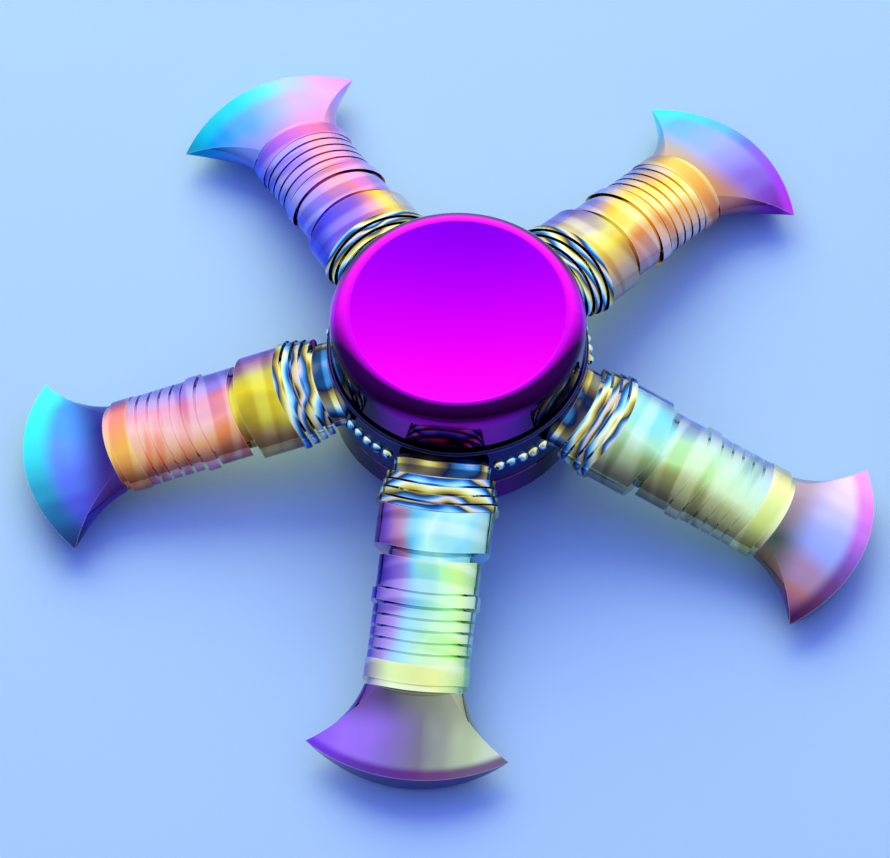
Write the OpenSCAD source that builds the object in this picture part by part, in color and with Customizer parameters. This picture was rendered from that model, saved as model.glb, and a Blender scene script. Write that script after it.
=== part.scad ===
// Five-arm metal fidget spinner: two dished finger pads on a small ball bearing,
// and a hub that carries five stacked, oval-turned arms with flared tips.
// Units are millimetres. Z is the spin axis and Z = 0 is the face the spinner rests on.

/* [Overall] */
// Reach of the arm tips along the arms' own axes
tip_reach = 39.1; // [38.6:0.1:40]
// Slope of every arm below the level, in degrees
arm_slope = 14; // [13:0.5:14]
// Height above the hub's middle where the arms' axes cross the spin axis
arm_rise = 2.1; // [1.9:0.1:2.1]
// Direction of the first arm in plan, in degrees
first_arm = -97; // [-180:1:180]

/* [Finger pads] */
// Outer diameter of both pads
pad_d = 22; // [21:0.5:22]
// Diameter of the crest around the upper dish
upper_crest_d = 18.6; // [17:0.2:19]
// Diameter of the crest around the lower dish
lower_crest_d = 17.2; // [16:0.2:19]
// Height of the upper pad at its crest
upper_pad_h = 4.8; // [4.4:0.1:5.2]
// Height of the lower pad at its crest
lower_pad_h = 6.8; // [6.8:0.1:8]
// Depth of the finger dishes below their crests
dish_depth = 1.3; // [0.6:0.1:1.6]
// Height of the lower pad's taper, from its edge down to its crest
lower_taper = 3.6; // [3:0.1:4]

/* [Hub] */
// Diameter of the hub's wall
hub_d = 22.6; // [22.6:0.1:23]
// Thickness of the hub
hub_h = 4.8; // [4.8:0.1:5]
// Air gap between the hub and each pad
pad_gap = 0.4; // [0.3:0.05:0.6]
// Number of raised beads on the hub's wall between two arms
bead_count = 5; // [3:1:5]
// Diameter of each bead
bead_d = 1; // [0.8:0.1:1]

/* [Arms] */
// Width of the sleeve, the widest turned piece
sleeve_w = 10; // [9:0.1:10]
// Width of the barrel
barrel_w = 8.8; // [8:0.1:9]
// Thickness of every turned piece as a share of its width
oval = 0.56; // [0.5:0.01:0.6]
// Width of the flared tip across its corners
tip_w = 17.2; // [16:0.2:17.6]
// Thickness of the tip at its middle
tip_t = 3; // [2.8:0.1:3.2]
// Radius of the seams between the turned pieces, in plan
bow_r = 13; // [12:0.5:16]
// Radius of the tip's outer edge, in plan
edge_r = 14.5; // [13:0.5:20]
// Diameter of the threaded stud inside each arm
stud_d = 2; // [1.6:0.1:2]

/* [Bearing] */
// Outer diameter of the bearing
bearing_d = 12.7; // [12.7]
// Bore of the bearing
bearing_bore = 6.35; // [6.35]
// Width of the bearing
bearing_w = 4.76; // [4.76]
// Diameter of the bearing's balls
ball_d = 1.588; // [1.588]
// Number of balls
ball_count = 10; // [8:1:10]

/* [Hidden] */

// Colours of the plated parts and of the bearing
pad_colour = "#b010d8";
hub_colour = "#3c2f7a";
collar_colour = "#6f9fd8";
sleeve_colour = "#e0b27a";
barrel_colour = "#c9d88a";
end_colour = "#e8dc6a";
tip_colour = "#7a5fd0";
steel_colour = "#c4c8cc";
shield_colour = "#9ba0a5";
cage_colour = "#b08d4c";

arm_count = 5;
arm_pitch = 360 / arm_count;
smooth = 96;
eps = 0.01;
reach = 60;

hub_z = lower_pad_h + pad_gap + hub_h / 2;
pad_r = pad_d / 2;
hub_r = hub_d / 2;
edge_round = 0.3;
hub_chamfer = 0.2;
// Step from bead to bead around the hub, in degrees
bead_pitch = 5.4;

// Bearing
bore_r = bearing_bore / 2;
bearing_r = bearing_d / 2;
ball_r = ball_d / 2;
pitch_r = (bore_r + bearing_r) / 2;
race_clear = 0.03;
inner_land_r = 3.95;
outer_land_r = 5.55;
shield_t = 0.2;
clip_t = 0.2;
shield_seat_r = 5.85;
shield_z = bearing_w / 2 - clip_t - shield_t - 0.05;
cage_in_r = 4.3;
cage_out_r = 5.2;
cage_bottom = -0.65;
cage_top = 1.15;

// Pads' stubs and the stud that joins them
stub_gap = 0.3;
pad_stud_d = 3;
pad_stud_l = 6.4;
stud_tip_gap = 0.2;
spacer_r = 3.8;
foot_land = 0.35;

// Stations along an arm, measured from the spin axis along the arm's own axis
boss_in = 11.1;
boss_out = 12.6;
collar_out = 15.9;
sleeve_out = 20.2;
barrel_out = 29.4;
end_collar_out = 31.6;
stud_in = 8;
stud_out = 33;
boss_w = 8.4;
boss_oval = 0.44;
core_w = 7.4;
collar_w = sleeve_w + 0.6;
end_collar_w = 9;
neck_w = 8.4;
neck_oval = 0.42;
groove = 0.25;
rib_count = 5;
collar_rings = 4;

// The flare's side is one arc, whose slope grows from the neck to the corner
flare_start = 12;
flare_end = 62;
flare_r = (tip_w - neck_w) / 2 / (cos(flare_start) - cos(flare_end));
corner_x = tip_reach - edge_r + sqrt(edge_r * edge_r - tip_w * tip_w / 4);
neck_x = corner_x - flare_r * (sin(flare_end) - sin(flare_start));
crown_r = (tip_w * tip_w / 4 + tip_t * tip_t / 4) / tip_t;

// ---------- pads ----------

// Upper pad without its stub or dish: a drum whose wall rounds over into the crest
module upper_blank() {
    crest_r = upper_crest_d / 2;
    shoulder = pad_r - crest_r;
    side_h = upper_pad_h - shoulder;
    rotate_extrude($fn = smooth)
        polygon([[0, 0], [pad_r - edge_round, 0], [pad_r, edge_round], [pad_r, side_h], [0, side_h]]);
    translate([0, 0, side_h])
        rotate_extrude($fn = smooth)
            translate([crest_r, 0])
                circle(r = shoulder, $fn = smooth);
    cylinder(r = crest_r, h = upper_pad_h, $fn = smooth);
}

// Lower pad without its stub or dish, upside down: a drum that tapers to a narrower crest
module lower_blank() {
    side_h = lower_pad_h - lower_taper;
    rotate_extrude($fn = smooth)
        polygon([
            [0, 0], [pad_r - edge_round, 0], [pad_r, edge_round],
            [pad_r, side_h - edge_round], [pad_r - edge_round, side_h],
            [lower_crest_d / 2 + foot_land, lower_pad_h], [0, lower_pad_h]
        ]);
}

// Pad of height h from its blank, the child: cuts the dish, whose crest has radius crest_r,
// and adds the stub that fills half of the bearing's bore
module pad(h, crest_r) {
    stub_l = hub_h / 2 + pad_gap - stub_gap;
    stud_pocket = pad_stud_l / 2 + stud_tip_gap - stub_gap;
    dish_r = (crest_r * crest_r + dish_depth * dish_depth) / (2 * dish_depth);
    difference() {
        union() {
            children();
            translate([0, 0, -stub_l])
                cylinder(r = bore_r, h = stub_l + eps, $fn = smooth);
        }
        translate([0, 0, -stub_l - eps])
            cylinder(d = pad_stud_d, h = stud_pocket + eps, $fn = smooth);
        translate([0, 0, h - dish_depth + dish_r])
            sphere(r = dish_r, $fn = smooth);
    }
}

module upper_pad() {
    color(pad_colour)
        translate([0, 0, hub_z + hub_h / 2 + pad_gap])
            pad(upper_pad_h, upper_crest_d / 2)
                upper_blank();
}

module lower_pad() {
    color(pad_colour)
        translate([0, 0, lower_pad_h])
            mirror([0, 0, 1])
                pad(lower_pad_h, lower_crest_d / 2)
                    lower_blank();
}

module pad_stud() {
    color(steel_colour)
        translate([0, 0, hub_z])
            cylinder(d = pad_stud_d, h = pad_stud_l, center = true, $fn = smooth);
}

// Washer between a pad and the bearing's inner race
module spacer() {
    t = hub_h / 2 + pad_gap - bearing_w / 2;
    translate([0, 0, bearing_w / 2])
        tube(bore_r, spacer_r, t);
}

module upper_spacer() {
    color(steel_colour)
        translate([0, 0, hub_z])
            spacer();
}

module lower_spacer() {
    color(steel_colour)
        translate([0, 0, hub_z])
            mirror([0, 0, 1])
                spacer();
}

// ---------- bearing ----------

// Ring with its lower face at Z = 0
module tube(r_in, r_out, h) {
    difference() {
        cylinder(r = r_out, h = h, $fn = smooth);
        translate([0, 0, -1])
            cylinder(r = r_in, h = h + 2, $fn = smooth);
    }
}

// Track that the balls run in
module ball_track() {
    rotate_extrude($fn = smooth)
        translate([pitch_r, 0])
            circle(r = ball_r + race_clear, $fn = smooth);
}

module bearing_inner_race() {
    color(steel_colour)
        translate([0, 0, hub_z])
            difference() {
                translate([0, 0, -bearing_w / 2])
                    tube(bore_r, inner_land_r, bearing_w);
                ball_track();
            }
}

module bearing_outer_race() {
    seat = clip_t + shield_t + 0.05;
    color(steel_colour)
        translate([0, 0, hub_z])
            difference() {
                translate([0, 0, -bearing_w / 2])
                    tube(outer_land_r, bearing_r, bearing_w);
                ball_track();
                for (side = [0, 1])
                    mirror([0, 0, side])
                        translate([0, 0, bearing_w / 2 - seat])
                            cylinder(r = shield_seat_r, h = seat + 1, $fn = smooth);
            }
}

module shield() {
    translate([0, 0, shield_z])
        tube(inner_land_r + 0.15, shield_seat_r, shield_t);
}

// Split wire ring that keeps a shield in its seat
module shield_clip() {
    clip_in_r = shield_seat_r - 0.35;
    gap_w = 0.8;
    difference() {
        translate([0, 0, shield_z + shield_t])
            tube(clip_in_r, shield_seat_r, clip_t);
        translate([0, -gap_w / 2, 0])
            cube([bearing_r, gap_w, bearing_w]);
    }
}

module upper_shield() {
    color(shield_colour)
        translate([0, 0, hub_z])
            shield();
}

module lower_shield() {
    color(shield_colour)
        translate([0, 0, hub_z])
            mirror([0, 0, 1])
                shield();
}

module upper_shield_clip() {
    color(shield_colour)
        translate([0, 0, hub_z])
            shield_clip();
}

module lower_shield_clip() {
    color(shield_colour)
        translate([0, 0, hub_z])
            mirror([0, 0, 1])
                shield_clip();
}

module ball_cage() {
    pocket_r = ball_r + race_clear;
    color(cage_colour)
        translate([0, 0, hub_z])
            difference() {
                translate([0, 0, cage_bottom])
                    tube(cage_in_r, cage_out_r, cage_top - cage_bottom);
                for (i = [0:ball_count - 1])
                    rotate([0, 0, i * 360 / ball_count])
                        translate([pitch_r, 0, 0])
                            sphere(r = pocket_r, $fn = smooth);
            }
}

module bearing_balls() {
    color(steel_colour)
        translate([0, 0, hub_z])
            for (i = [0:ball_count - 1])
                rotate([0, 0, i * 360 / ball_count])
                    translate([pitch_r, 0, 0])
                        sphere(r = ball_r, $fn = smooth);
}

// ---------- arms ----------

// Puts children, drawn along +X, on arm k, whose axis leaves the spin axis at their origin
module on_arm(k) {
    translate([0, 0, hub_z + arm_rise])
        rotate([0, 0, first_arm + (k - 1) * arm_pitch])
            rotate([0, arm_slope, 0])
                children();
}

// Oval bar of width w along +X from a to b
module oval_bar(w, a, b, squash) {
    translate([a, 0, 0])
        rotate([0, 90, 0])
            linear_extrude(height = b - a)
                scale([squash, 1])
                    circle(d = w, $fn = smooth);
}

// Upright cylinder of radius r whose outer side crosses the arm's axis at x
module bow(x, r = bow_r) {
    translate([x - r, 0, -reach / 2])
        cylinder(r = r, h = reach, $fn = smooth);
}

// Band of oval bar between two bowed seams
module band(w, a, b, squash = oval) {
    difference() {
        intersection() {
            oval_bar(w, a - bow_r / 2, b + 1, squash);
            bow(b);
        }
        bow(a);
    }
}

module stud_bore(a, b) {
    translate([a, 0, 0])
        rotate([0, 90, 0])
            cylinder(d = stud_d, h = b - a, $fn = smooth);
}

// Row of half-sunk beads on the hub's wall, about the direction of +X
module bead_row() {
    for (i = [0:bead_count - 1])
        rotate([0, 0, (i - (bead_count - 1) / 2) * bead_pitch])
            translate([hub_r, 0, hub_z])
                rotate([0, 90, 0])
                    sphere(d = bead_d, $fn = 24);
}

module hub() {
    color(hub_colour)
        difference() {
            union() {
                translate([0, 0, hub_z - hub_h / 2])
                    rotate_extrude($fn = smooth)
                        polygon([
                            [bearing_r, 0], [hub_r - hub_chamfer, 0], [hub_r, hub_chamfer],
                            [hub_r, hub_h - hub_chamfer], [hub_r - hub_chamfer, hub_h],
                            [bearing_r, hub_h]
                        ]);
                for (k = [1:arm_count]) {
                    on_arm(k)
                        band(boss_w, boss_in, boss_out, boss_oval);
                    rotate([0, 0, first_arm + (k - 0.5) * arm_pitch])
                        bead_row();
                }
            }
            for (k = [1:arm_count])
                on_arm(k)
                    stud_bore(stud_in, boss_out + 1);
        }
}

module arm_studs() {
    color(steel_colour)
        for (k = [1:arm_count])
            on_arm(k)
                stud_bore(stud_in, stud_out);
}

// Stack of thin rings, turned in one piece
module base_collar(k) {
    ring_pitch = (collar_out - boss_out) / collar_rings;
    ring_step = 0.4;
    color(collar_colour)
        on_arm(k)
            difference() {
                union() {
                    band(core_w, boss_out, collar_out);
                    for (i = [0:collar_rings - 1]) {
                        ring_end = collar_out - i * ring_pitch;
                        band(collar_w - i * ring_step, ring_end - ring_pitch + groove, ring_end);
                    }
                }
                stud_bore(boss_out - 1, collar_out + 1);
            }
}

module sleeve(k) {
    shoulder = sleeve_out - 0.7;
    color(sleeve_colour)
        on_arm(k)
            difference() {
                union() {
                    band(core_w, collar_out, sleeve_out);
                    band(sleeve_w, collar_out, shoulder);
                }
                stud_bore(collar_out - 1, sleeve_out + 1);
            }
}

module barrel(k) {
    plain_out = sleeve_out + 2.8;
    ring_out = plain_out + 1.3;
    rib_pitch = (barrel_out - ring_out) / rib_count;
    color(barrel_colour)
        on_arm(k)
            difference() {
                union() {
                    band(core_w, sleeve_out, barrel_out);
                    band(barrel_w, sleeve_out, plain_out);
                    band(barrel_w + 0.5, plain_out + groove, ring_out);
                    for (i = [0:rib_count - 1])
                        band(barrel_w, ring_out + groove + i * rib_pitch, ring_out + (i + 1) * rib_pitch);
                }
                stud_bore(sleeve_out - 1, barrel_out + 1);
            }
}

module end_collar(k) {
    step = end_collar_out - 0.5;
    color(end_colour)
        on_arm(k)
            difference() {
                union() {
                    band(end_collar_w, barrel_out, step);
                    band(end_collar_w - 0.8, step, end_collar_out);
                }
                stud_bore(barrel_out - 1, end_collar_out + 1);
            }
}

// Turned bell that the tip is cut from: a neck, then a flare with an arc for its side
module bell() {
    steps = 12;
    neck_r = neck_w / 2;
    start = end_collar_out - bow_r / 2;
    flare = [for (i = [0:steps]) let (a = flare_start + (flare_end - flare_start) * i / steps)
        [neck_r + flare_r * (cos(flare_start) - cos(a)), neck_x + flare_r * (sin(a) - sin(flare_start))]];
    rotate([0, 90, 0])
        scale([neck_oval, 1, 1])
            rotate_extrude($fn = smooth)
                polygon(concat([[0, start], [neck_r, start]], flare,
                    [[tip_w / 2, tip_reach + 1], [0, tip_reach + 1]]));
}

// Bar with a crowned top and a crowned underside, tip_t thick at its middle
module crown() {
    intersection_for (side = [-1, 1])
        translate([0, 0, side * (crown_r - tip_t / 2)])
            rotate([0, 90, 0])
                cylinder(r = crown_r, h = tip_reach + 2, $fn = smooth);
}

module tip(k) {
    color(tip_colour)
        on_arm(k)
            difference() {
                intersection() {
                    bell();
                    crown();
                    bow(tip_reach, edge_r);
                }
                bow(end_collar_out);
                stud_bore(end_collar_out - 1, stud_out + 0.3);
            }
}

upper_pad();
lower_pad();
pad_stud();
upper_spacer();
lower_spacer();
bearing_inner_race();
hub();
bearing_outer_race();
upper_shield();
lower_shield();
upper_shield_clip();
lower_shield_clip();
ball_cage();
bearing_balls();
arm_studs();
for (k = [1:arm_count]) {
    base_collar(k);
    sleeve(k);
    barrel(k);
    end_collar(k);
    tip(k);
}
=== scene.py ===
"""Looks of the five-arm fidget spinner: rainbow-plated metal on a pale blue table under soft light."""

import math

import bpy
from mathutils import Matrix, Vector


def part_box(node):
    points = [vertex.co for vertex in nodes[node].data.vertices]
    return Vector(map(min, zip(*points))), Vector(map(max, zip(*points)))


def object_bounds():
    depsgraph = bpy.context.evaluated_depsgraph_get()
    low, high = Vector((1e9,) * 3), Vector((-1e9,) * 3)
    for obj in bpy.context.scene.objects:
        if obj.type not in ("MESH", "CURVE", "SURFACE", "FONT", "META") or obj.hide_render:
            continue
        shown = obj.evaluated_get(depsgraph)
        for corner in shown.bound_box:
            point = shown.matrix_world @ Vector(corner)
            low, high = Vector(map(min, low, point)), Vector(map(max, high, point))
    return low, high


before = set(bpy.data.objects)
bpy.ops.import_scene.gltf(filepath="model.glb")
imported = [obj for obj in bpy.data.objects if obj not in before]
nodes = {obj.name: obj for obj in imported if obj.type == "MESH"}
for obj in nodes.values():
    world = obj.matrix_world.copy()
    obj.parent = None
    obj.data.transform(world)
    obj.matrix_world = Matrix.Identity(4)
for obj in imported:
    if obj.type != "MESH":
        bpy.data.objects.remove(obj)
cad_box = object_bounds()
scene = bpy.context.scene
scene.view_settings.view_transform = "Standard"

ARM_COUNT = 5


# ---------- shader helpers ----------

def rgb(code):
    """Linear colour with alpha from an sRGB code such as "#80c0ff"."""
    parts = [int(code[i:i + 2], 16) / 255 for i in (1, 3, 5)]
    return [p / 12.92 if p <= 0.04045 else ((p + 0.055) / 1.055) ** 2.4 for p in parts] + [1.0]


def even(colours):
    """Ramp stops at even steps."""
    return [(i / (len(colours) - 1), colour) for i, colour in enumerate(colours)]


class Nodes:
    """A node tree, with short calls for its nodes."""

    def __init__(self, tree):
        self.tree = tree
        self.coords = self.add("ShaderNodeTexCoord")

    def add(self, kind, **settings):
        node = self.tree.nodes.new(kind)
        for key, value in settings.items():
            setattr(node, key, value)
        return node

    def link(self, output, socket):
        self.tree.links.new(output, socket)

    def feed(self, socket, value):
        """Links value if it is an output, or else sets it as the socket's constant."""
        if isinstance(value, bpy.types.NodeSocket):
            self.link(value, socket)
        else:
            socket.default_value = value

    def math(self, operation, a, b=0.0, clamp=False):
        node = self.add("ShaderNodeMath", operation=operation, use_clamp=clamp)
        self.feed(node.inputs[0], a)
        self.feed(node.inputs[1], b)
        return node.outputs[0]

    def vector(self, operation, a, b=(0, 0, 0), result="Vector"):
        node = self.add("ShaderNodeVectorMath", operation=operation)
        self.feed(node.inputs[0], a)
        self.feed(node.inputs[1], b)
        return node.outputs[result]

    def dot(self, value, direction):
        """How far a vector points along a direction."""
        return self.vector("DOT_PRODUCT", value, Vector(direction).normalized(), "Value")


class Shader(Nodes):
    """A material's node tree, with short calls for what a coat is made from."""

    def __init__(self, name):
        self.material = bpy.data.materials.new(name)
        self.material.use_nodes = True
        super().__init__(self.material.node_tree)
        self.surface = self.tree.nodes["Principled BSDF"]

    def scaled(self, factors):
        """Object coordinates, in metres, times a factor for each axis."""
        return self.vector("MULTIPLY", self.coords.outputs["Object"], factors)

    def facing(self, direction):
        """How far the surface's own normal points along a direction in the object's frame."""
        return self.dot(self.coords.outputs["Normal"], direction)

    def along(self, direction):
        """Distance from the spin axis along a direction, in metres."""
        return self.dot(self.coords.outputs["Object"], direction)

    def radius(self):
        """Distance from the spin axis, in metres."""
        return self.vector("LENGTH", self.scaled((1, 1, 0)), result="Value")

    def distance_from(self, point):
        """Distance in plan from a point, in metres."""
        return self.vector("DISTANCE", self.scaled((1, 1, 0)), point, "Value")

    def noise(self, scale, detail=2.0, where=None):
        node = self.add("ShaderNodeTexNoise")
        node.inputs["Scale"].default_value = scale
        node.inputs["Detail"].default_value = detail
        self.link(where or self.coords.outputs["Object"], node.inputs["Vector"])
        return node.outputs["Fac"]

    def spread(self, value, low, high):
        """Takes a value between 0 and 1 to between low and high."""
        node = self.add("ShaderNodeMapRange")
        self.link(value, node.inputs["Value"])
        node.inputs["To Min"].default_value = low
        node.inputs["To Max"].default_value = high
        return node.outputs["Result"]

    def step(self, value, start, end, kind="SMOOTHSTEP"):
        """0 up to start and 1 from end on. Start may be the larger of the two."""
        node = self.add("ShaderNodeMapRange", interpolation_type=kind)
        self.link(value, node.inputs["Value"])
        node.inputs["From Min"].default_value = start
        node.inputs["From Max"].default_value = end
        return node.outputs["Result"]

    def ramp(self, value, stops):
        node = self.add("ShaderNodeValToRGB")
        elements = node.color_ramp.elements
        while len(elements) < len(stops):
            elements.new(0.5)
        for element, (place, colour) in zip(elements, stops):
            element.position = place
            element.color = rgb(colour)
        self.link(value, node.inputs[0])
        return node.outputs["Color"]

    def mix(self, amount, a, b):
        node = self.add("ShaderNodeMix", data_type="RGBA")
        self.feed(node.inputs[0], amount)
        self.feed(node.inputs[6], a)
        self.feed(node.inputs[7], b)
        return node.outputs[2]

    def edges(self, radius):
        """1 on sharp edges and 0 on open faces."""
        rounded = self.add("ShaderNodeBevel", samples=4)
        rounded.inputs["Radius"].default_value = radius
        plain = self.add("ShaderNodeNewGeometry")
        match = self.vector("DOT_PRODUCT", rounded.outputs["Normal"], plain.outputs["Normal"], "Value")
        return self.step(match, 0.98, 0.80, "LINEAR")

    def rubbed_and_highlit_edges(self, coat, edge_colour, radius, least, most):
        """Coat whose sharp edges show a pale colour, least to most of the way: rubbed plating and a painted
        edge highlight.
        """
        rub_and_highlight = self.math("MULTIPLY", self.edges(radius), self.spread(self.noise(900.0), least, most))
        return self.mix(rub_and_highlight, coat, rgb(edge_colour))

    def finish(self, coat, rough, relief, strength, depth=0.0001, metallic=1.0):
        """Sets the surface from its coat, its roughness and the height of its fine relief."""
        bump = self.add("ShaderNodeBump")
        bump.inputs["Strength"].default_value = strength
        bump.inputs["Distance"].default_value = depth
        self.link(relief, bump.inputs["Height"])
        self.link(coat, self.surface.inputs["Base Color"])
        self.link(rough, self.surface.inputs["Roughness"])
        self.link(bump.outputs["Normal"], self.surface.inputs["Normal"])
        self.surface.inputs["Metallic"].default_value = metallic
        return self.material


# ---------- materials ----------

# Coats of each arm's pieces, from its clockwise flank over the top to its anticlockwise flank: the plating's
# rainbow hues together with painted reflections and highlights, which differ from arm to arm
SLEEVE_COATS = {
    1: ["#7c50c8", "#c48cb0", "#90dcf0", "#dcfcf4", "#b4e8f0", "#c4e4d8"],
    2: ["#8c9078", "#b8cc98", "#d4f4dc", "#acecf4", "#bcc8ec"],
    3: ["#b09890", "#e0b868", "#f4e468", "#ece8a4", "#b0a0dc", "#8068e0"],
    4: ["#ecd0c8", "#f8ec70", "#e8a8bc", "#b080e0", "#8078f4", "#4050e0"],
    5: ["#9848c0", "#b48cb0", "#dcd468", "#f0e048", "#c8b448", "#b08470"],
}
BARREL_COATS = {
    1: ["#7c58d4", "#b494dc", "#a8e0f0", "#d4fcd0", "#e4f8b0", "#c8e8d8"],
    2: ["#a8a484", "#bcc080", "#dcf4bc", "#d0f0d4", "#b4cce4", "#c4b8ec"],
    3: ["#d4b4c0", "#f0b470", "#fff0a4", "#f8dc64", "#ccbce4", "#8c78ec"],
    4: ["#e4c4f8", "#f0a8ec", "#eca8c0", "#c49cec", "#b0a8f8", "#5870ec"],
    5: ["#8c70dc", "#b4a8f4", "#e8a0c0", "#ffc4bc", "#f8b474", "#d08c98"],
}
END_COATS = {
    1: ["#c8b8d8", "#f0f8c8", "#f8f8c0", "#d8f0c0"],
    2: ["#c8c890", "#e8f0a8", "#f8f8c8", "#e8e0cc"],
    3: ["#e0a090", "#f8c870", "#f8e490", "#d8a0c4"],
    4: ["#f0b0f0", "#f8a0d8", "#d090f0", "#7088f4"],
    5: ["#a868d4", "#f8b0b0", "#fcd478", "#e09870"],
}
TIP_COATS = {
    1: ["#8c58f8", "#a470f4", "#8c70c4", "#80788c", "#bcc89c", "#d8dccc"],
    2: ["#582c7c", "#b07078", "#94a0e8", "#a4acf0", "#f4d4fc", "#ffe4ff"],
    3: ["#78209c", "#7c48c0", "#9088ec", "#98a8fc", "#68b8fc", "#50f0f8"],
    4: ["#e8b4fc", "#e0acfc", "#a4b4fc", "#68a8fc", "#0c90e4", "#0c84c8"],
    5: ["#50f4fc", "#4ca4fc", "#6498fc", "#6080f0", "#4c4cc8", "#4c2c8c"],
}
# Coats along each tip's outer edge and at its neck, across the arm in the same order, with painted
# reflections. The darker coats at the neck are painted shade where the tip meets the end collar.
TIP_EDGE_COATS = {
    1: ["#7430d8", "#50208c", "#681c74", "#502068"],
    2: ["#280838", "#48145c", "#8840b4", "#e46ce8", "#ff9cec"],
    3: ["#c834d8", "#a040f0", "#6070f8", "#40d8f4", "#34fcec"],
    4: ["#f09cfc", "#d8b4fc", "#5ce4f4", "#20dce4", "#10c0dc", "#0c84b0"],
    5: ["#54fff4", "#3cf8ec", "#2cd4d8", "#1c7098", "#141c58"],
}
NECK_SHADE_COATS = {
    1: ["#8440c8", "#544c68", "#8c8c78", "#c0c098"],
    2: ["#7c6450", "#40504c", "#a88c98", "#dcc8d8"],
    3: ["#844878", "#c08858", "#c8a878", "#b0b0d8"],
    4: ["#eca8e0", "#d894d8", "#8c90e0", "#3868d0"],
    5: ["#4c60c8", "#2c2c80", "#382878", "#583484"],
}
# Coat of the face that ends each tip: its plating hue with a painted reflection
TIP_RIM_COATS = {1: "#3c1c80", 2: "#581878", 3: "#8828b8", 4: "#20b0c8", 5: "#1c8098"}
# Width of the band of other hues along each tip's outer edge, in metres
TIP_EDGE_WIDTH = {1: 0.0010, 2: 0.0018, 3: 0.0014, 4: 0.0026, 5: 0.0028}
# Where a tip's painted neck shade starts to fade and where it is gone, in metres from the spin axis
NECK_END = 0.0312
NECK_FADED = 0.0345
# Arc of a tip's outer edge in plan, in metres: its centre's distance from the spin axis, and its radius
EDGE_CENTRE = 0.0239
EDGE_RADIUS = 0.0142
# Radius of the crest round the upper dish, in metres
PAD_CREST = 0.0093
# Pad coats by how far the surface leans, from upright in front to upright at the back: painted reflections,
# violet to magenta in the dish, a dark crescent on the near land and bright magenta at the sides and back of
# the crest
DISH_COATS = [
    (0.30, "#7800e0"), (0.36, "#8c00e8"), (0.50, "#c900ea"), (0.60, "#e400f0"), (0.68, "#f400f4"),
]
RIM_COATS = [
    (0.00, "#b41ca8"), (0.05, "#8c1498"), (0.13, "#2c0438"), (0.39, "#34064c"), (0.45, "#a808b0"),
    (0.51, "#f010f0"), (0.70, "#e830e8"), (1.00, "#b81cc8"),
]
# Painted dark reflection on the upright walls at the back of a pad, and the painted shade that the lower pad
# is mixed with
BACK_WALL_REFLECTION = "#30043c"
PAD_SHADE = "#24043c"
# Radius of the hub's wall, in metres
HUB_WALL = 0.0113
# Hues that repeat from ring to ring on the base collars, the beads and the bosses
COLLAR_COATS = [
    (0.00, "#0c1c50"), (0.11, "#1c74d4"), (0.22, "#98e0f8"), (0.32, "#fcfff0"), (0.42, "#f0e88c"),
    (0.53, "#b49c44"), (0.64, "#242c48"), (0.74, "#3c94dc"), (0.83, "#e4d8f0"), (0.92, "#d8c070"),
    (1.00, "#0c1c50"),
]
RINGS_PER_METRE = 460.0
# For the pieces of an arm that share one kind of coat: the coats, the hues' shift with slope,
# the width in metres that they spread over, and how far they drift
ARM_PIECES = {
    "sleeve": (SLEEVE_COATS, 0.25, 0.018, 0.7),
    "barrel": (BARREL_COATS, 0.3, 0.018, 0.5),
    "end_collar": (END_COATS, 0.3, 0.02, 0.3),
}


def arm_direction(arm):
    """Direction of an arm in plan, taken from the middle of its tip."""
    low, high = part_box(f"arm_{arm}_tip")
    angle = math.atan2(low.y + high.y, low.x + high.x)
    return math.cos(angle), math.sin(angle), 0


def arm_side(arm):
    """Direction in plan that points to an arm's anticlockwise flank."""
    x, y, _ = arm_direction(arm)
    return -y, x, 0


def finish_plating(s, coat, rough, edge_radius=0.00012):
    """Polished plating: pale edges from rubbed plating and a painted edge highlight, smeared gloss and a
    faint ripple.
    """
    smear = s.spread(s.noise(260.0, detail=4.0), rough * 0.6, rough * 1.9)
    # Pale edges: the plating rubbed through, and a painted edge highlight
    coat = s.rubbed_and_highlit_edges(coat, "#f4ecd8", edge_radius, 0.1, 0.6)
    return s.finish(coat, smear, s.noise(2600.0, detail=3.0), 0.05)


def grain(s, arm, lengthwise, crosswise):
    """Coordinates squeezed along or across an arm, so that a noise on them is drawn out that way."""
    node = s.add("ShaderNodeCombineXYZ")
    s.link(s.math("MULTIPLY", s.along(arm_direction(arm)), lengthwise), node.inputs[0])
    s.link(s.math("MULTIPLY", s.along(arm_side(arm)), crosswise), node.inputs[1])
    s.link(s.math("MULTIPLY", s.along((0, 0, 1)), crosswise), node.inputs[2])
    return node.outputs[0]


def across_arm(s, arm, lean, width, drift):
    """0 to 1 from an arm's clockwise flank to the other, by slope and by place, in long patches."""
    # The slope term turns the painted reflections and highlights with the surface
    slope = s.math("MULTIPLY", s.facing(arm_side(arm)), lean)
    place = s.math("MULTIPLY", s.along(arm_side(arm)), 1 / width)
    patches = s.noise(260.0, 1.5, where=grain(s, arm, 0.45, 1))
    cloud = s.math("MULTIPLY", s.math("SUBTRACT", patches, 0.5), drift)
    total = s.math("ADD", s.math("ADD", slope, place), cloud)
    return s.math("ADD", total, 0.5, clamp=True)


def arm_metal(name, arm, coats, lean, width, drift):
    """Interference coat with painted reflections, whose hue changes across an arm, with painted dark
    reflections in bands round it.
    """
    s = Shader(name)
    coat = s.ramp(across_arm(s, arm, lean, width, drift), even(coats))
    # A darker copy of the coat, laid in bands as painted dark reflections
    dark_reflection = s.add("ShaderNodeGamma")
    s.link(coat, dark_reflection.inputs["Color"])
    dark_reflection.inputs["Gamma"].default_value = 2.6
    bands = s.step(s.noise(620.0, 1.0, where=grain(s, arm, 1, 0.12)), 0.46, 0.62)
    return finish_plating(s, s.mix(s.math("MULTIPLY", bands, 0.6), coat, dark_reflection.outputs["Color"]), 0.07)


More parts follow.
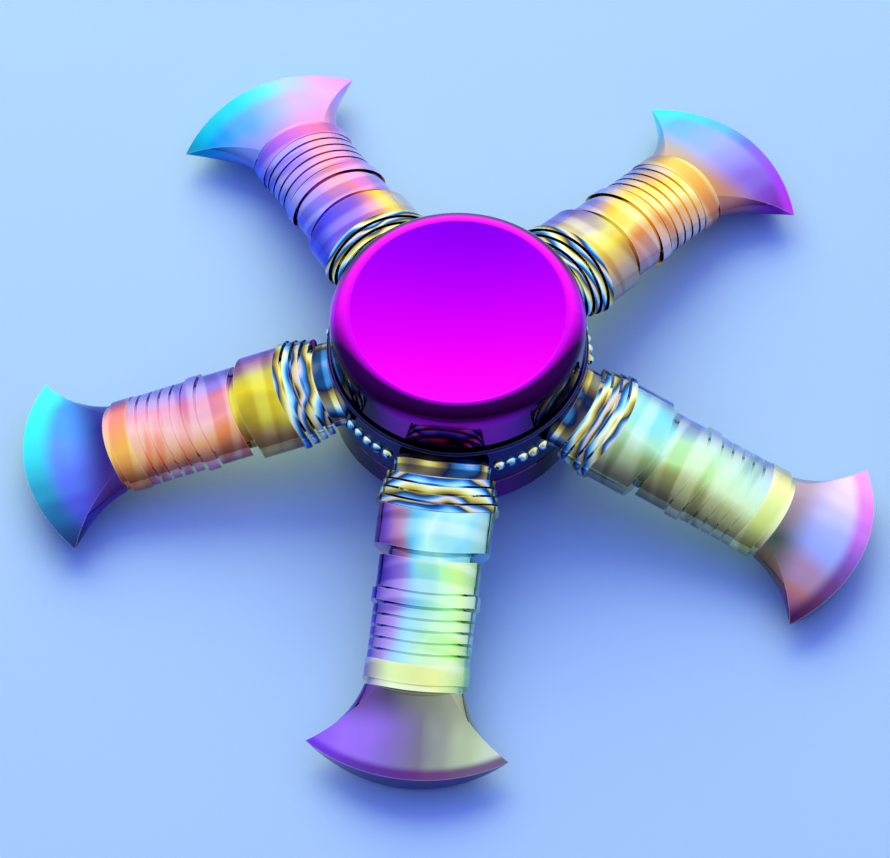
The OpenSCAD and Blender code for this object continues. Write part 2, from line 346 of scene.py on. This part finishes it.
def tip_metal(arm):
    """Coat of a tip with painted reflections: painted shade at the neck, other hues along the outer edge and
    a rim of its own colour.
    """
    s = Shader(f"tip_plating_{arm}")
    direction = arm_direction(arm)
    width = TIP_EDGE_WIDTH[arm]
    across = across_arm(s, arm, 0.2, 0.020, 0.3)
    # Painted shade at the neck, where the tip meets the end collar
    neck = s.step(s.along(direction), NECK_FADED, NECK_END)
    arc = s.distance_from([EDGE_CENTRE * part for part in direction])
    edge = s.math("MULTIPLY", s.step(arc, EDGE_RADIUS - width, EDGE_RADIUS - width / 3), 0.85)
    rim = s.step(s.facing(direction), 0.35, 0.6)
    coat = s.mix(neck, s.ramp(across, even(TIP_COATS[arm])), s.ramp(across, even(NECK_SHADE_COATS[arm])))
    coat = s.mix(edge, coat, s.ramp(across, even(TIP_EDGE_COATS[arm])))
    return finish_plating(s, s.mix(rim, coat, rgb(TIP_RIM_COATS[arm])), 0.05)


def ring_hues(s, direction, offset):
    """Interference coat that changes from ring to ring along a direction."""
    ring = s.math("MULTIPLY", s.along(direction), RINGS_PER_METRE)
    cloud = s.math("MULTIPLY", s.noise(260.0, detail=1.0), 1.2)
    hue = s.math("FRACT", s.math("ADD", s.math("ADD", ring, cloud), offset))
    return s.ramp(hue, COLLAR_COATS)


def collar_metal(arm):
    """Coat of a base collar. Each arm's hues start at another place in their order."""
    s = Shader(f"collar_plating_{arm}")
    return finish_plating(s, ring_hues(s, arm_direction(arm), 0.37 * arm), 0.06, edge_radius=0.00006)


def hub_metal():
    """Near-black navy plating with violet and blue drifts, and rainbow hues on the beads and bosses."""
    s = Shader("hub_plating")
    coat = s.ramp(s.noise(90.0, detail=2.0), [(0.3, "#08083c"), (0.5, "#182460"), (0.7, "#381460")])
    proud = s.step(s.radius(), HUB_WALL + 0.00002, HUB_WALL + 0.00006)
    boss = s.step(s.radius(), HUB_WALL + 0.0004, HUB_WALL + 0.0006)
    hues = s.mix(s.math("MULTIPLY", boss, 0.75), ring_hues(s, (0, 0, 1), 0.2), rgb("#101440"))
    return finish_plating(s, s.mix(proud, coat, hues), 0.08)


def pad_metal(name, shade):
    """Mirror-polished plating with painted reflections: violet to magenta in the dish, and plum walls below
    a painted bright crest.
    """
    s = Shader(name)
    cloud = s.math("MULTIPLY", s.math("SUBTRACT", s.noise(70.0, detail=1.0), 0.5), 0.04)
    # Painted reflections are laid by how far the surface faces the back
    lean = s.math("ADD", s.math("MULTIPLY", s.facing((0, 1, 0)), 0.5), 0.5)
    lean = s.math("ADD", lean, cloud, clamp=True)
    rim = s.step(s.radius(), PAD_CREST - 0.0002, PAD_CREST + 0.0004)
    coat = s.mix(rim, s.ramp(lean, DISH_COATS), s.ramp(lean, RIM_COATS))
    # Painted dark reflection on the upright walls at the back
    back_reflection = s.math("MULTIPLY", s.step(lean, 0.56, 0.68), s.step(s.facing((0, 0, 1)), 0.92, 0.78))
    coat = s.mix(s.math("MULTIPLY", back_reflection, rim), coat, rgb(BACK_WALL_REFLECTION))
    # The lower pad is mixed with painted shade. Pale pink edges are rubbed plating and a painted edge
    # highlight.
    coat = s.rubbed_and_highlit_edges(s.mix(shade, coat, rgb(PAD_SHADE)), "#f4c8ec", 0.00014, 0.2, 0.9)
    smear = s.spread(s.noise(300.0, detail=4.0), 0.03, 0.09)
    return s.finish(coat, smear, s.noise(2200.0, detail=3.0), 0.03)


def plain_metal(name, colour, rough):
    """Ground or stamped metal with fine turning marks around the spin axis."""
    s = Shader(name)
    coat = s.mix(s.noise(400.0, detail=3.0), rgb(colour), rgb("#8c9096"))
    smear = s.spread(s.noise(700.0, detail=3.0), rough * 0.7, rough * 1.4)
    return s.finish(coat, smear, s.noise(3000.0, where=s.scaled((1, 1, 8))), 0.08)


def table_top():
    """Smooth pale blue paper-like surface."""
    s = Shader("table_top")
    coat = s.mix(s.noise(9.0, detail=3.0), rgb("#bce8fc"), rgb("#c4ecfe"))
    smear = s.spread(s.noise(60.0, detail=4.0), 0.42, 0.55)
    return s.finish(coat, smear, s.noise(1500.0, detail=3.0), 0.05, depth=0.0002, metallic=0.0)


def paint(material, *names):
    for name in names:
        slots = nodes[name].data.materials
        slots.clear()
        slots.append(material)


paint(pad_metal("pad_plating", 0.0), "upper_pad")
# The lower pad: the same plating, darkened by painted shade
paint(pad_metal("shaded_pad_plating", 0.45), "lower_pad")
paint(hub_metal(), "hub")
for arm in range(1, ARM_COUNT + 1):
    paint(collar_metal(arm), f"arm_{arm}_base_collar")
    for piece, (coats, lean, width, drift) in ARM_PIECES.items():
        paint(arm_metal(f"{piece}_plating_{arm}", arm, coats[arm], lean, width, drift), f"arm_{arm}_{piece}")
    paint(tip_metal(arm), f"arm_{arm}_tip")
paint(plain_metal("fastener_steel", "#b4b8bc", 0.25),
      "pad_stud", "upper_spacer", "lower_spacer", "arm_studs")
paint(plain_metal("bearing_steel", "#c8ccd0", 0.15),
      "bearing_inner_race", "bearing_outer_race", "bearing_balls")
paint(plain_metal("shield_steel", "#a0a4a8", 0.3),
      "upper_shield", "lower_shield", "upper_shield_clip", "lower_shield_clip")
paint(plain_metal("cage_brass", "#c8a050", 0.3), "ball_cage")


# ---------- table, light and camera ----------

def floor():
    """A flat table, wide enough to fill every view."""
    size = 3.0
    mesh = bpy.data.meshes.new("table")
    corners = [(-size, -size, 0), (size, -size, 0), (size, size, 0), (-size, size, 0)]
    mesh.from_pydata(corners, [], [(0, 1, 2, 3)])
    table = bpy.data.objects.new("table", mesh)
    table.location.z = cad_box[0].z
    mesh.materials.append(table_top())
    scene.collection.objects.link(table)


# Soft lights that the metal mirrors: direction, tightness, strength and colour
STUDIO = [
    ((0, 0.94, 0.34), 4.0, 1.1, "#fffff4"),
    ((0, 0.15, 1), 2.0, 0.95, "#e6f2ff"),
    ((-1, 0.1, 0.3), 2.0, 0.9, "#d8e8ff"),
    ((1, 0.1, 0.3), 2.0, 1.0, "#d8e8ff"),
    ((0, -1, 0.35), 2.0, 0.35, "#c8d4ff"),
]


def surroundings():
    """A plain soft studio, seen only in reflections: bright behind, above and beside, dim in front."""
    world = bpy.data.worlds.new("studio")
    scene.world = world
    world.use_nodes = True
    n = Nodes(world.node_tree)
    total = (0, 0, 0)
    for direction, tightness, strength, colour in STUDIO:
        toward = n.math("MAXIMUM", n.dot(n.coords.outputs["Generated"], direction), 0.0)
        amount = n.math("MULTIPLY", n.math("POWER", toward, tightness), strength)
        light = n.add("ShaderNodeVectorMath", operation="SCALE")
        n.feed(light.inputs[0], rgb(colour)[:3])
        n.feed(light.inputs["Scale"], amount)
        total = n.vector("ADD", total, light.outputs[0])
    n.link(total, n.tree.nodes["Background"].inputs["Color"])
    world.cycles_visibility.diffuse = False


# Lamps that light the table: direction, distance and width in metres, power in watts, colour
LAMPS = {
    "key_lamp": ((-0.18, 0.72, 0.68), 0.5, 0.6, 2.05, "#faff70"),
    "fill_lamp": ((0, 0, 1), 0.8, 2.0, 14.6, "#8894ff"),
}


def lamps():
    """Soft lamps that light the table only: polished metal mirrors the studio around it."""
    for name, (direction, distance, width, power, colour) in LAMPS.items():
        data = bpy.data.lights.new(name, "AREA")
        data.shape = "DISK"
        data.size = width
        data.energy = power
        data.color = rgb(colour)[:3]
        lamp = bpy.data.objects.new(name, data)
        way = Vector(direction).normalized()
        lamp.location = way * distance
        lamp.rotation_euler = way.to_track_quat("Z", "Y").to_euler()
        lamp.visible_glossy = False
        scene.collection.objects.link(lamp)


# The camera: height above the horizon in degrees, lens in millimetres, and in metres its
# distance, the hub's half thickness and where it aims, measured from the hub's middle
ELEVATION = 57.55
LENS = 198.1
DISTANCE = 0.42
HUB_HALF = 0.0024
AIM = (-0.0011, -0.00713, 0)


def camera():
    hub_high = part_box("hub")[1]
    middle = Vector((0, 0, hub_high.z - HUB_HALF))
    elevation = math.radians(ELEVATION)
    data = bpy.data.cameras.new("camera")
    data.lens = LENS
    data.sensor_width = 36
    data.clip_start = 0.01
    eye = bpy.data.objects.new("camera", data)
    back = Vector((0, -math.cos(elevation), math.sin(elevation)))
    eye.location = middle + Vector(AIM) + back * DISTANCE
    eye.rotation_euler = (math.pi / 2 - elevation, 0, 0)
    scene.collection.objects.link(eye)
    scene.camera = eye


floor()
surroundings()
lamps()
camera()
